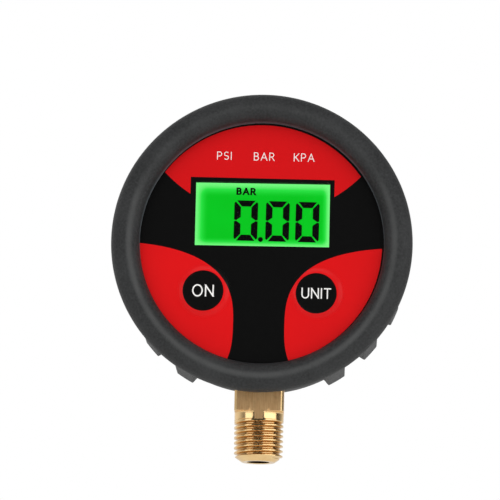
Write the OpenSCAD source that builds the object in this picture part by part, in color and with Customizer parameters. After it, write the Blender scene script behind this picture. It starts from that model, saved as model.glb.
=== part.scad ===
// Digital pressure gauge: a round case in a rubber boot, a lit display with two press keys,
// and a square brass stem with a pipe thread at the bottom.
// Frame: the stem axis is Z and the face looks along -Y. Z = 0 is the shoulder under the wrench square.

/* [Case] */
// Outside diameter of the case under the boot
case_d = 70; // [69:0.5:80]
// Wall thickness of the rear case
case_wall = 2; // [1.7:0.1:2.6]
// Height of the dial centre above the stem shoulder
dial_height = 44; // [43.5:0.5:52]
// Distance from the face back to the stem axis
face_to_stem = 11.9; // [11.6:0.1:14]

/* [Boot] */
// Side wall thickness of the rubber boot behind the front bead
boot_wall = 2.7; // [2.2:0.1:4]
// Draft of the side wall, by which it is thinner at the back
wall_draft = 0.9; // [0.2:0.1:1.2]
// Slack between the boot and the case
boot_slack = 0.1; // [0.05:0.01:0.2]
// Radius of the round bead that guards the face
bead_round = 3.9; // [3.6:0.1:4.2]
// How far the bead stands out from the side wall
bead_proud = 2.1; // [1.5:0.1:3]
// Height of the bead's middle in front of the face
bead_lift = 0.6; // [0.3:0.1:1]
// Thickness of the lip behind the case
rear_lip = 1.9; // [1.5:0.1:3]
// Overlap of the rear lip over the back of the case
rear_overlap = 3.5; // [2.5:0.1:4.5]
// Rounding radius of the boot's back corner
rear_round = 2.4; // [1:0.1:2.7]
// Number of grip lugs round the boot
lug_count = 18; // [14:1:20]
// Angle from the stem to the first lug on each side
lug_start = 31.7; // [26:0.1:40]
// Width of a grip lug
lug_width = 5.4; // [4:0.1:6.5]
// Rise of a grip lug above the side wall
lug_rise = 1.2; // [0.8:0.1:2]
// Groove between the bead and the lugs
lug_groove = 3; // [2:0.1:4]
// Slope length of a lug's two ends
lug_slope = 1.2; // [0.5:0.1:2]
// Gap round the stem in the boot
boot_stem_gap = 0.4; // [0.2:0.1:1]

/* [Face] */
// Thickness of the printed face film
film_t = 0.25; // [0.15:0.05:0.4]
// Width of the case rim round the face film
rim_w = 0.9; // [0.6:0.1:1.5]
// Width of the display window
window_w = 35.6; // [32:0.1:37]
// Height of the display window
window_h = 17.2; // [15:0.1:17.6]
// Height of the window's middle above the dial centre
window_up = 7.75; // [7:0.05:8.2]
// Distance between the two keys
key_spacing = 29.9; // [29:0.1:32]
// Drop of the keys below the dial centre
key_drop = 13.1; // [12.6:0.1:14]
// Diameter of a key
key_d = 14; // [12:0.1:14.4]
// Rise of a key above the face
key_rise = 0.4; // [0.3:0.05:0.6]
// Width of the sloped edge of a key
key_slope = 0.7; // [0.4:0.1:1.2]
// Gap round a key
key_gap = 0.1; // [0.06:0.01:0.15]
// Travel of a key
key_travel = 0.4; // [0.2:0.05:0.5]

/* [Display] */
// Thickness of the front panel
panel_t = 2.2; // [2:0.1:3]
// Thickness of the clear window pane
pane_t = 1.5; // [1:0.1:1.7]
// Ledge that carries the pane on each side
pane_ledge = 1.2; // [0.8:0.1:1.8]
// Fit gap round seated pieces
seat_gap = 0.1; // [0.05:0.01:0.15]
// Thickness of each of the display's two glasses
glass_t = 1.1; // [0.7:0.1:1.3]
// Display glass beyond the window at each side
glass_border = 2; // [1.5:0.1:2.2]
// Contact strip along the display's lower edge
contact_strip = 3; // [2.4:0.1:3.2]
// Thickness of the light guide behind the display
guide_t = 3; // [2.5:0.1:3.5]
// Wall of the frame that holds the display
frame_wall = 1.2; // [1:0.1:1.4]
// Thickness of the circuit board
board_t = 1.6; // [1:0.1:2]

/* [Battery] */
// Diameter of a cell
cell_d = 10.5; // [10.2:0.1:10.6]
// Overall length of a cell
cell_length = 44.5; // [44:0.1:44.8]
// Room round a cell
cell_gap = 0.3; // [0.2:0.05:0.4]
// Wall of the cell tray
tray_wall = 1.3; // [1.25:0.05:1.5]
// Height of the tray's middle above the dial centre
tray_up = 4; // [3.5:0.1:4.4]
// Thickness of the battery door
door_t = 1.8; // [1.6:0.1:2]
// Ledge of the door round the tray
door_ledge = 1; // [0.8:0.05:1.05]
// Length of a contact spring under load
spring_length = 3; // [2.8:0.1:3.2]
// Wire diameter of a contact spring
spring_wire = 0.5; // [0.4:0.05:0.6]
// Thickness of a contact plate
contact_t = 0.4; // [0.3:0.05:0.5]

/* [Stem] */
// Width across the flats of the wrench square
square_w = 13; // [12.8:0.1:14]
// Diameter to which the square's corners are turned
corner_d = 17.4; // [16:0.1:18]
// Outside diameter of the pipe thread
thread_d = 13.5; // [13:0.05:13.75]
// Length of the thread with its plain neck
thread_length = 11; // [10:0.1:16]
// Height of the lead chamfer at the end
lead_height = 2; // [1:0.1:2.5]
// Depth of the lead chamfer at the end, measured across the radius
lead_depth = 1.8; // [1:0.1:2]
// Diameter of the pressure port
port_d = 6; // [4:0.1:6.4]
// Drop of the stem's top below the dial centre
stem_drop = 20; // [19.4:0.1:20.4]

/* [Sensor] */
// Diameter of the sensor pocket in the stem
pocket_d = 11; // [10:0.1:11.4]
// Thickness of the seal ring under the sensor
seal_t = 1.2; // [1:0.1:1.5]
// Thickness of the sensor
sensor_t = 2.8; // [2:0.1:3.2]
// Height of the retaining ring over the sensor
retainer_t = 2; // [1.5:0.1:2.5]
// Opening of the retaining ring
retainer_bore = 6.4; // [5:0.1:7]
// Width of the ribbon from the sensor to the board
ribbon_w = 4; // [3:0.1:4.5]

/* [Fasteners] */
// Shank diameter of the case screws
screw_d = 2.5; // [2.2:0.1:2.8]
// Head diameter of the case screws
head_d = 4.4; // [4:0.1:4.8]
// Head height of the case screws
head_h = 1.6; // [1.2:0.1:2]
// Outside diameter of the screw posts
post_d = 6; // [5.8:0.1:6.4]

/* [Hidden] */
$fn = 48;
eps = 0.01;
cut_past = 1;

// Radii of the case, boot and face, from the case outwards
case_r = case_d / 2;
case_in_r = case_r - case_wall;
boot_in_r = case_r + boot_slack;
wall_r = boot_in_r + boot_wall;
rear_wall_r = wall_r - wall_draft;
bead_out = wall_r + bead_proud;
bead_r = bead_out - bead_round;
film_r = case_r - rim_w;
rear_view_r = case_r - rear_overlap;

// Depth of each layer from the stem axis, positive towards the viewer
face_z = face_to_stem;
panel_front = face_z - film_t;
panel_back = panel_front - panel_t;
glass_step = panel_back - glass_t;
glass_back = glass_step - glass_t;
board_front = glass_back - guide_t;
board_back = board_front - board_t;
chip_rise = 1.4;
board_room = 2.1;
tray_front = board_back - board_room;
tray_floor = tray_front - tray_wall;
door_in = tray_floor - cell_d - cell_gap;
case_back = door_in - door_t;
bead_z = face_z + bead_lift;
bead_back = bead_z - sqrt(pow(bead_round, 2) - pow(bead_round - bead_proud, 2));
boot_in_back = case_back - boot_slack;
boot_back = boot_in_back - rear_lip;

// Display glass, frame and pane outlines about the window's middle
glass_w = window_w + 2 * glass_border;
glass_top = window_h / 2 + glass_border / 2;
glass_bottom = -glass_top - contact_strip;
glass_h = glass_top - glass_bottom;
glass_mid = (glass_top + glass_bottom) / 2;
led_w = 1.2;
led_h = 3;
led_rise = 1.5;
strip_end = 2;
strip_play = 0.4;

// Keys and their switches
key_r = key_d / 2;
key_x = key_spacing / 2;
well_depth = 1.3;
flange_t = 0.6;
flange_inset = 0.6;
flange_r = key_r - flange_inset;
plunger_r = 2.2;
switch_w = 6;
switch_h = 3.5;
switch_stem_r = 1.7;
switch_stem_rise = 0.9;
switch_stem_seat = 2;
switch_room = 0.9;
switch_top = board_front + switch_h;

// Cell tray about its middle
cell_pitch = cell_d + cell_gap;
cell_z = tray_floor - (cell_d + cell_gap) / 2;
tray_w = cell_length + spring_length + 2 * contact_t;
tray_h = 2 * cell_pitch;
nub_length = 1;
nub_d = 3.8;
contact_w = 8;
tail_w = 2.4;
tail_slot = 0.2;
spring_turns = 2.5;
spring_base_r = 3.4;
spring_tip_r = 1.9;
spring_rings = 12;
spring_sides = 6;

// Battery door: an ear for its screw below and two tongues above
door_gap = 0.15;
ear_r = 3.1;
ear_reach = 2;
ear_wall = 0.9;
ear_drop = tray_h / 2 + door_ledge + ear_reach;
ear_boss_r = ear_r + door_gap + ear_wall;
tongue_x = 12;
tongue_w = 5;
tongue_reach = 1.2;
tongue_t = 0.7;
tongue_skin = 0.7;
tongue_z = case_back + tongue_skin;
pry_w = 8;
pry_depth = 0.6;

// Stem heights above the shoulder
stem_top = dial_height - stem_drop;
pocket_floor = stem_top - retainer_t - sensor_t - seal_t;
thread_r = thread_d / 2;
stem_end = -thread_length - lead_height;
pocket_r = pocket_d / 2;
block_y = -stem_drop;

// Screws: four hold the case, two the stem, four the board, one the door
post_r = post_d / 2;
post_angles = [60, 120, 210, 330];
head_margin = 0.6;
post_ring_r = rear_view_r - head_d / 2 - head_margin;
post_points = [for (a = post_angles) post_ring_r * [cos(a), sin(a)]];
screw_clear = 0.2;
screw_grip = 5;
head_room = 0.3;
head_sink = head_h + head_room;
screw_seat = case_back + head_sink;
stem_screw_x = 4;
stem_screw_drop = 8.6;
stem_screw_y = block_y - stem_screw_drop;
stem_screw_grip = 3.5;
stem_screw_d = 2.5;
board_screw_d = 2;
board_head_d = 3.6;
board_head_h = 1.2;
board_post_r = 2.2;
board_screw_grip = 4;
spigot_wall = 1.5;
spigot_depth = 3;
board_edge_gap = 0.4;
board_r = case_in_r - seat_gap - spigot_wall - board_edge_gap;
board_side_x = (glass_w / 2 + seat_gap + frame_wall + board_r) / 2;
board_margin = 0.9;
board_low_r = board_r - board_post_r - board_margin;
board_low_angle = 64;
board_points = [for (s = [-1, 1]) [s * board_side_x, tray_up],
                for (s = [-1, 1]) board_low_r * [s * cos(board_low_angle), -sin(board_low_angle)]];
hole_past = 2;
notch_margin = 2;
notch_play = 1;
notch_rise = 4.5;
notch_w = square_w + 2 * notch_margin;
notch_top = block_y + notch_rise;
ribbon_t = 0.3;
ribbon_stand = 1.2;
ribbon_lap = 2.6;

// Dial frame: x to the right, y up from the dial centre, z towards the viewer from the stem axis
module dial_frame() {
    translate([0, 0, dial_height]) rotate([90, 0, 0]) children();
}

// A prism between two depths of the dial frame
module layer(back, front) {
    translate([0, 0, back]) linear_extrude(front - back) children();
}

// A rectangle about its middle
module rect(w, h) {
    square([w, h], center = true);
}

// A rectangle with round corners, about its middle
module round_rect(w, h, r) {
    rect(w - 2 * r, h);
    rect(w, h - 2 * r);
    for (sx = [-1, 1], sy = [-1, 1])
        translate([sx * (w / 2 - r), sy * (h / 2 - r)]) circle(r);
}

// A pan-head screw: the head hangs below z = 0 with a cross recess, the shank stands above
module pan_screw(d, length, hd, hh) {
    recess_w = hd / 7;
    recess_l = hd * 0.58;
    recess_t = hh * 0.6;
    difference() {
        union() {
            cylinder(r = d / 2, h = length);
            translate([0, 0, -hh * 0.55]) cylinder(r = hd / 2, h = hh * 0.55);
            translate([0, 0, -hh]) cylinder(r1 = hd / 2 - hh * 0.3, r2 = hd / 2, h = hh * 0.45);
        }
        for (a = [0, 90])
            rotate(a) translate([-recess_l / 2, -recess_w / 2, -hh - eps])
                cube([recess_l, recess_w, recess_t + eps]);
    }
}

// Rubber boot: a round bead that laps over the face, a drafted wall with grip lugs, and a lip behind the case
module boot_profile() {
    bead = [bead_r, bead_z];
    rear = [rear_wall_r - rear_round, boot_back + rear_round];
    difference() {
        union() {
            polygon([
                [bead_r, face_z], bead, [wall_r, bead_z],
                [rear_wall_r, rear[1]], rear, [rear[0], boot_back],
                [rear_view_r, boot_back], [rear_view_r, face_z]]);
            translate(bead) circle(bead_round);
            translate(rear) circle(rear_round);
        }
        translate([0, boot_in_back]) square([boot_in_r, face_z - boot_in_back]);
    }
}

module lug_profile() {
    front = bead_back - lug_groove;
    back = boot_back + rear_round;
    bite = boot_wall / 2;
    foot_r = wall_r - wall_draft * (bead_z - front) / (bead_z - back);
    polygon([[foot_r - bite, front], [foot_r, front], [wall_r + lug_rise, front - lug_slope],
             [wall_r + lug_rise, back + lug_slope], [rear_wall_r, back], [rear_wall_r - bite, back]]);
}

module rubber_boot() {
    color("#33363a") dial_frame() difference() {
        union() {
            rotate_extrude($fn = 96) boot_profile();
            intersection() {
                rotate_extrude($fn = 96) lug_profile();
                layer(boot_back, bead_back)
                    for (i = [0 : lug_count - 1])
                        rotate(-90 + lug_start + i * (360 - 2 * lug_start) / (lug_count - 1))
                            translate([case_r, -lug_width / 2]) square([boot_wall + bead_proud, lug_width]);
            }
        }
        opening = square_w + 2 * boot_stem_gap;
        translate([-opening / 2, -bead_out, -opening / 2])
            cube([opening, bead_out - rear_view_r, opening]);
    }
}

// Rear case: a cup with the cell tray, screw posts and a pad behind the stem block
module tray_outline(grow) {
    translate([0, tray_up]) rect(tray_w + 2 * grow, tray_h + 2 * grow);
}

module door_outline(grow) {
    tray_outline(door_ledge + grow);
    translate([0, tray_up - ear_drop]) circle(ear_r + grow);
    translate([0, tray_up - ear_drop / 2]) rect(2 * (ear_r + grow), ear_drop);
}

module door_tongues(grow) {
    top = tray_up + tray_h / 2 + door_ledge;
    for (s = [-1, 1])
        translate([s * tongue_x, top])
            rect(tongue_w + 2 * grow, 2 * (tongue_reach + grow));
}

module rear_case() {
    hole_w = square_w + 2 * seat_gap;
    door_screw_y = tray_up - ear_drop;
    color("#1d1e20") dial_frame() difference() {
        union() {
            difference() {
                layer(case_back, panel_back) circle(case_r, $fn = 96);
                layer(case_back + case_wall, panel_back + eps) circle(case_in_r, $fn = 96);
            }
            layer(case_back, tray_front) tray_outline(tray_wall);
            layer(case_back, board_back)
                for (p = post_points) translate(p) circle(post_r);
            layer(case_back, tray_front) translate([0, door_screw_y]) circle(ear_boss_r);
            intersection() {
                layer(case_back, -square_w / 2)
                    translate([-square_w / 2, -case_r]) square([square_w, case_r + block_y]);
                layer(case_back, 0) circle(case_r - case_wall / 2, $fn = 96);
            }
        }
        layer(case_back - eps, tray_floor) tray_outline(0);
        layer(case_back - eps, door_in) door_outline(door_gap);
        layer(tongue_z - door_gap, tongue_z + tongue_t + door_gap) door_tongues(door_gap);
        for (p = post_points) translate(p) {
            layer(case_back - eps, screw_seat) circle(head_d / 2 + screw_clear);
            layer(case_back, board_back + eps) circle(screw_d / 2 + screw_clear);
        }
        for (s = [-1, 1]) translate([s * stem_screw_x, stem_screw_y]) {
            layer(case_back - eps, screw_seat) circle(head_d / 2 + screw_clear);
            layer(case_back, 0) circle(stem_screw_d / 2 + screw_clear);
        }
        layer(case_back, tray_front - tray_wall) translate([0, door_screw_y]) circle(board_screw_d / 2);
        layer(tray_floor - eps, tray_front + eps)
            for (s = [-1, 1]) translate([tray_w / 2 - contact_t / 2, tray_up + s * cell_pitch / 2])
                rect(contact_t + tail_slot, tail_w + tail_slot);
        translate([-hole_w / 2, -case_r - hole_past, -hole_w / 2])
            cube([hole_w, case_wall + 2 * hole_past, hole_w]);
    }
}

// Front panel: carries the face film, the window pane, the display and the board
module front_panel() {
    spigot_r = case_in_r - seat_gap;
    color("#1d1e20") dial_frame() difference() {
        union() {
            layer(panel_back, face_z) circle(case_r, $fn = 96);
            difference() {
                layer(panel_back - spigot_depth, panel_back) circle(spigot_r, $fn = 96);
                layer(panel_back - spigot_depth - eps, panel_back)
                    circle(spigot_r - spigot_wall, $fn = 96);
            }
            layer(board_back, panel_back) for (p = post_points) translate(p) circle(post_r);
            layer(board_front, panel_back)
                for (p = board_points) translate(p) circle(board_post_r);
        }
        layer(panel_front, face_z + eps) circle(film_r + seat_gap, $fn = 96);
        translate([0, window_up]) {
            layer(panel_back - eps, face_z) rect(window_w, window_h);
            layer(panel_front - pane_t, face_z)
                rect(window_w + 2 * pane_ledge, window_h + 2 * pane_ledge);
        }
        for (s = [-1, 1]) translate([s * key_x, -key_drop]) {
            layer(panel_front - well_depth, face_z) circle(key_r + key_gap);
            layer(panel_back - eps, face_z) circle(plunger_r + key_gap);
        }
        for (p = post_points)
            layer(board_back - eps, board_back + screw_grip + screw_clear)
                translate(p) circle(screw_d / 2);
        for (p = board_points)
            layer(board_front - eps, board_front + board_screw_grip)
                translate(p) circle(board_screw_d / 2);
        if (spigot_r > stem_drop)
            translate([-square_w / 2 - notch_play, -case_r, -square_w / 2])
                cube([square_w + 2 * notch_play, case_r + block_y, square_w / 2 + panel_back]);
    }
}

// Face film: the printed sheet, open at the window and round the two keys
module face_film() {
    color("#d4151b") dial_frame() layer(panel_front, face_z) difference() {
        circle(film_r, $fn = 96);
        translate([0, window_up]) rect(window_w, window_h);
        for (s = [-1, 1]) translate([s * key_x, -key_drop]) circle(key_r + key_gap);
    }
}

// Clear pane in the panel's rebate
module display_window() {
    inset = 2 * (pane_ledge - seat_gap);
    color("#dfe8ea", 0.35) dial_frame() layer(panel_front - pane_t, panel_front)
        translate([0, window_up]) rect(window_w + inset, window_h + inset);
}

// Display cell: two glasses, the front one longer by the contact strip
module display_glass() {
    color("#26e03c") dial_frame() translate([0, window_up]) {
        layer(glass_step, panel_back) translate([0, glass_mid]) rect(glass_w, glass_h);
        layer(glass_back, glass_step)
            translate([0, glass_mid + contact_strip / 2]) rect(glass_w, glass_h - contact_strip);
    }
}

// Light guide behind the display, lit from its left end
module light_guide() {
    left = -glass_w / 2 + led_w + seat_gap;
    guide_w = glass_w / 2 - left;
    color("#f2f5ee") dial_frame() layer(board_front, glass_back)
        translate([left + guide_w / 2, window_up + glass_mid + contact_strip / 2])
            rect(guide_w, glass_h - contact_strip);
}

module backlight_leds() {
    color("#fbf6d8") dial_frame() layer(board_front, board_front + led_rise)
        for (s = [-1, 1])
            translate([-glass_w / 2 + led_w / 2, window_up + glass_mid + s * window_h / 4 + contact_strip / 2])
                rect(led_w, led_h);
}

// Conductive rubber strip between the glass and the board
module contact_rubber() {
    strip_w = contact_strip - 2 * strip_play;
    color("#4b4f55") dial_frame() layer(board_front, glass_step)
        translate([0, window_up + glass_bottom + contact_strip / 2])
            rect(glass_w - 2 * strip_end, strip_w);
}

// Frame that holds the display stack between the panel and the board
module display_frame() {
    color("#e8e6de") dial_frame() layer(board_front, panel_back)
        translate([0, window_up + glass_mid]) difference() {
            rect(glass_w + 2 * (seat_gap + frame_wall), glass_h + 2 * (seat_gap + frame_wall));
            rect(glass_w + 2 * seat_gap, glass_h + 2 * seat_gap);
        }
}

// Circuit board with a notch for the stem and cut-outs for the case posts
module circuit_board() {
    color("#1c6b3a") dial_frame() layer(board_back, board_front) difference() {
        circle(board_r, $fn = 96);
        translate([-notch_w / 2, -2 * board_r]) square([notch_w, 2 * board_r + notch_top]);
        for (p = post_points) translate(p) circle(post_r + board_edge_gap);
        for (p = board_points) translate(p) circle(board_screw_d / 2 + screw_clear);
    }
}

// Bonded chip under a domed resin drop on the back of the board
module controller_chip() {
    drop_r = 4.5;
    ball_r = (drop_r * drop_r + chip_rise * chip_rise) / (2 * chip_rise);
    color("#15161a") dial_frame() translate([0, tray_up, board_back]) difference() {
        translate([0, 0, ball_r - chip_rise]) sphere(ball_r, $fn = 96);
        translate([-ball_r - cut_past, -ball_r - cut_past, 0]) cube(2 * (ball_r + cut_past));
    }
}

// One key: the raised pad of the face film, side -1 at the left and 1 at the right
module key_at(side) {
    dial_frame() translate([side * key_x, -key_drop, 0]) children();
}

module key_pad(side) {
    color("#141416") key_at(side) translate([0, 0, panel_front]) rotate_extrude()
        polygon([[0, 0], [key_r, 0], [key_r, film_t],
                 [key_r - key_slope, film_t + key_rise], [0, film_t + key_rise]]);
}

// Plunger under a key: a flange in the panel's well and a round foot on the switch
module key_plunger(side) {
    color("#2a2b2e") key_at(side) {
        layer(panel_front - flange_t, panel_front) circle(flange_r);
        layer(switch_top + switch_stem_rise, panel_front - flange_t) circle(plunger_r);
    }
}

// Push switch on the board: a square body and a round stem that the plunger presses
module switch_body(side) {
    color("#3a3d42") key_at(side) difference() {
        layer(board_front, switch_top) rect(switch_w, switch_w);
        layer(switch_top - switch_stem_seat - switch_room, switch_top + eps)
            circle(switch_stem_r + key_gap);
    }
}

module switch_stem(side) {
    color("#b9bcc0") key_at(side)
        layer(switch_top - switch_stem_seat, switch_top + switch_stem_rise) circle(switch_stem_r);
}

module on_key() { key_pad(-1); }
module on_key_plunger() { key_plunger(-1); }
module on_switch_body() { switch_body(-1); }
module on_switch_stem() { switch_stem(-1); }
module unit_key() { key_pad(1); }
module unit_key_plunger() { key_plunger(1); }
module unit_switch_body() { switch_body(1); }
module unit_switch_stem() { switch_stem(1); }

// Brass stem: thread blank, wrench square and the block that holds the sensor
module brass_stem() {
    color("#c9a14a") difference() {
        union() {
            linear_extrude(stem_top) intersection() {
                rect(square_w, square_w);
                circle(corner_d / 2);
            }
            translate([0, 0, -thread_length]) cylinder(r = thread_r, h = thread_length);
            translate([0, 0, stem_end])
                cylinder(r1 = thread_r - lead_depth, r2 = thread_r, h = lead_height);
        }
        translate([0, 0, stem_end - eps]) cylinder(r = port_d / 2, h = pocket_floor - stem_end + 2 * eps);
        translate([0, 0, pocket_floor]) cylinder(r = pocket_r, h = stem_top - pocket_floor + eps);
        for (s = [-1, 1])
            translate([s * stem_screw_x, square_w / 2 + eps, dial_height + stem_screw_y])
                rotate([90, 0, 0]) cylinder(r = stem_screw_d / 2, h = stem_screw_grip + eps);
    }
}

// Seal ring on the pocket floor, squeezed flat under the sensor
module sensor_seal() {
    seal_r = (port_d / 2 + pocket_r) / 2;
    color("#232326") translate([0, 0, pocket_floor]) rotate_extrude()
        translate([seal_r, seal_t / 2]) circle(seal_t / 2);
}

module pressure_sensor() {
    color("#ece9e0") translate([0, 0, pocket_floor + seal_t])
        cylinder(r = pocket_r - seat_gap, h = sensor_t);
}

// Retaining ring screwed into the pocket over the sensor, with two spanner slots
module sensor_retainer() {
    slot_w = 1.2;
    slot_t = 0.8;
    color("#b8923f") translate([0, 0, stem_top - retainer_t]) difference() {
        cylinder(r = pocket_r, h = retainer_t);
        translate([0, 0, -eps]) cylinder(r = retainer_bore / 2, h = retainer_t + 2 * eps);
        translate([-pocket_r - cut_past, -slot_w / 2, retainer_t - slot_t])
            cube([2 * (pocket_r + cut_past), slot_w, slot_t + cut_past]);
    }
}

// Both edges of a strip of thickness t along a path, with mitred corners
function unit(v) = v / norm(v);
function side_step(a, b) = let (u = unit(b - a)) [-u[1], u[0]];
function mitre(p, i) =
    let (last = len(p) - 1,
         n1 = side_step(p[max(i - 1, 0)], p[max(i, 1)]),
         n2 = side_step(p[min(i, last - 1)], p[min(i + 1, last)]),
         m = unit(n1 + n2))
    m / (m * n1);
function strip(p, t) = concat(
    [for (i = [0 : len(p) - 1]) p[i] + mitre(p, i) * t / 2],
    [for (i = [len(p) - 1 : -1 : 0]) p[i] - mitre(p, i) * t / 2]);

// Ribbon from the sensor up behind the board, seen from the side as depth and height
module sensor_ribbon() {
    sensor_y = block_y - retainer_t;
    lie_z = board_back - ribbon_t / 2;
    path = [[0, sensor_y], [0, block_y + ribbon_stand],
            [lie_z, notch_top + ribbon_stand], [lie_z, notch_top + ribbon_stand + ribbon_lap]];
    color("#c98f2e") dial_frame() translate([ribbon_w / 2, 0, 0]) rotate([0, -90, 0])
        linear_extrude(ribbon_w) polygon(strip(path, ribbon_t));
}

// Cells lie side by side across the tray: the upper one has its cap at the right
module cell(side) {
    flat_x = -tray_w / 2 + contact_t + spring_length;
    body_length = cell_length - nub_length;
    dial_frame() translate([0, tray_up + side * cell_pitch / 2, cell_z]) rotate([0, side * 90, 0])
        translate([0, 0, flat_x]) {
            cylinder(r = cell_d / 2, h = body_length);
            translate([0, 0, body_length]) cylinder(r = nub_d / 2, h = nub_length);
        }
}

module upper_cell() { color("#5c7f9e") cell(1); }
module lower_cell() { color("#5c7f9e") cell(-1); }

// Flat contacts at the tray's ends: one bridges the cells at the left, two lead to the board at the right
module bridge_contact() {
    color("#d5d7da") dial_frame() translate([-tray_w / 2, 0, 0])
        layer(cell_z - contact_w / 2, tray_floor) translate([0, tray_up - (cell_pitch + contact_w) / 2])
            square([contact_t, cell_pitch + contact_w]);
}

module end_contact(side) {
    color("#d5d7da") dial_frame()
        translate([tray_w / 2 - contact_t, tray_up + side * cell_pitch / 2, 0]) {
            layer(cell_z - contact_w / 2, tray_floor) translate([0, -contact_w / 2])
                square([contact_t, contact_w]);
            layer(tray_floor, board_back) translate([0, -tail_w / 2]) square([contact_t, tail_w]);
        }
}

module positive_contact() { end_contact(1); }
module negative_contact() { end_contact(-1); }

// Conical contact spring, wound along its axis from a wide base to a narrow tip
spring_steps = spring_turns * spring_rings;
function spring_centre(i) =
    let (share = i / spring_steps, a = 360 * i / spring_rings,
         r = spring_base_r + (spring_tip_r - spring_base_r) * share,
         x = spring_wire / 2 + (spring_length - spring_wire) * share)
    [x, r * cos(a), r * sin(a)];
function spring_ring(i) =
    let (a = 360 * i / spring_rings, c = spring_centre(i), out = [0, cos(a), sin(a)])
    [for (k = [0 : spring_sides - 1])
        let (b = 360 * k / spring_sides)
        c + spring_wire / 2 * (cos(b) * out + sin(b) * [1, 0, 0])];
spring_gap = min([for (i = [0 : spring_steps], j = [i + spring_rings / 2 : spring_steps])
    norm(spring_centre(i) - spring_centre(j))]) - spring_wire;
echo(least_gap_between_spring_turns = spring_gap);

module contact_spring() {
    n = spring_sides;
    last = spring_steps * n;
    points = [for (i = [0 : spring_steps]) each spring_ring(i)];
    sides = [for (i = [0 : spring_steps - 1], k = [0 : n - 1])
        let (a = i * n + k, b = i * n + (k + 1) % n)
        each [[a, b, a + n], [b, b + n, a + n]]];
    ends = [for (k = [1 : n - 2]) each [[0, k + 1, k], [last, last + k, last + k + 1]]];
    polyhedron(points, concat(sides, ends));
}

module cell_spring(side) {
    color("#c4c7cb") dial_frame() translate([0, tray_up + side * cell_pitch / 2, cell_z])
        rotate([0, 0, side > 0 ? 0 : 180]) translate([-tray_w / 2 + contact_t, 0, 0]) contact_spring();
}

module upper_cell_spring() { cell_spring(1); }
module lower_cell_spring() { cell_spring(-1); }

// Battery door in its rebate, with a pry notch beside the screw ear
module battery_door() {
    color("#1d1e20") dial_frame() difference() {
        union() {
            layer(case_back, door_in) door_outline(0);
            layer(tongue_z, tongue_z + tongue_t) door_tongues(0);
        }
        layer(case_back - eps, screw_seat - head_sink + board_head_h)
            translate([0, tray_up - ear_drop]) circle(board_head_d / 2 + screw_clear);
        layer(case_back, door_in + eps)
            translate([0, tray_up - ear_drop]) circle(board_screw_d / 2 + screw_clear);
        layer(case_back - eps, case_back + pry_depth)
            translate([tray_w / 4, tray_up - tray_h / 2 - door_ledge]) rect(pry_w, 2 * pry_depth);
    }
}

module door_screw() {
    color("#8d9196") dial_frame() translate([0, tray_up - ear_drop, case_back + board_head_h])
        pan_screw(board_screw_d, tray_floor - case_back - board_head_h, board_head_d, board_head_h);
}

module case_screws() {
    reach = board_back + screw_grip - screw_seat;
    color("#8d9196") dial_frame() for (p = post_points)
        translate([p[0], p[1], screw_seat]) pan_screw(screw_d, reach, head_d, head_h);
}

module stem_screws() {
    reach = -square_w / 2 + stem_screw_grip - screw_seat;
    color("#8d9196") dial_frame() for (s = [-1, 1])
        translate([s * stem_screw_x, stem_screw_y, screw_seat])
            pan_screw(stem_screw_d, reach, head_d, head_h);
}

module board_screws() {
    color("#8d9196") dial_frame() for (p = board_points)
        translate([p[0], p[1], board_back])
            pan_screw(board_screw_d, board_t + board_screw_grip, board_head_d, board_head_h);
}

rubber_boot();
rear_case();
front_panel();
face_film();
display_window();
display_glass();
light_guide();
backlight_leds();
contact_rubber();
display_frame();
circuit_board();
controller_chip();
on_key();
on_key_plunger();
on_switch_body();
on_switch_stem();
unit_key();
unit_key_plunger();
unit_switch_body();
unit_switch_stem();
brass_stem();
sensor_seal();
pressure_sensor();
sensor_retainer();
sensor_ribbon();
upper_cell();
lower_cell();
bridge_contact();
positive_contact();
negative_contact();
upper_cell_spring();
lower_cell_spring();
battery_door();
door_screw();
case_screws();
stem_screws();
board_screws();
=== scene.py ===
import math

import bmesh
import bpy
import numpy as np
from mathutils import Matrix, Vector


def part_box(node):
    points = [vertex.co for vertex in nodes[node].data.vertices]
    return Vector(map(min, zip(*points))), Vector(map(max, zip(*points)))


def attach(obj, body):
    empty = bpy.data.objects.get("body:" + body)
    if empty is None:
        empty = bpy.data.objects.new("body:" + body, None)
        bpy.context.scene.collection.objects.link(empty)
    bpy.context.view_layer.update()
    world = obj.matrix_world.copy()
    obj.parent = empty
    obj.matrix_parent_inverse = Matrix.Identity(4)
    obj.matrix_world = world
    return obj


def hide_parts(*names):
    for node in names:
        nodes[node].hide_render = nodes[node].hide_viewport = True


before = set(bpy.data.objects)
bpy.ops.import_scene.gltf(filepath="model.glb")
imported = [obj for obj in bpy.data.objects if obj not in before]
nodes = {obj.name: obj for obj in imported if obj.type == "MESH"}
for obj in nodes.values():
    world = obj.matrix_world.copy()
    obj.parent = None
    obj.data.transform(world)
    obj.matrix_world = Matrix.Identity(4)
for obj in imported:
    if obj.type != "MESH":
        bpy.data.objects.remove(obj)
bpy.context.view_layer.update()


# Brass stem
# A bar of free-cutting brass, drawn square for the wrench with its corners turned off, and turned below to a
# neck and a right-hand taper pipe thread. The neck is a hair thicker than the bar, so a strip of each flat
# runs on down it.

MM = 0.001  # sizes below are in millimetres
square_half, corner_r, edge_break = 6.5, 8.7, 0.15
neck_r, shoulder_round = 6.6, 0.3
thread_r, thread_start, thread_pitch, thread_depth, thread_land = 6.75, -2.1, 1.337, 0.84, 0.16
crest_fall = 1 / 32  # of the crest's radius, for each millimetre down
stem_end, stem_top = (corner.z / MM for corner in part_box("brass_stem"))
lead_start, lead_r = -11.4, 4.4
pocket_floor, pocket_r, port_r = 18.0, 5.5, 3.0
top_bevel, port_bevel = 0.3, 0.1


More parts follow.
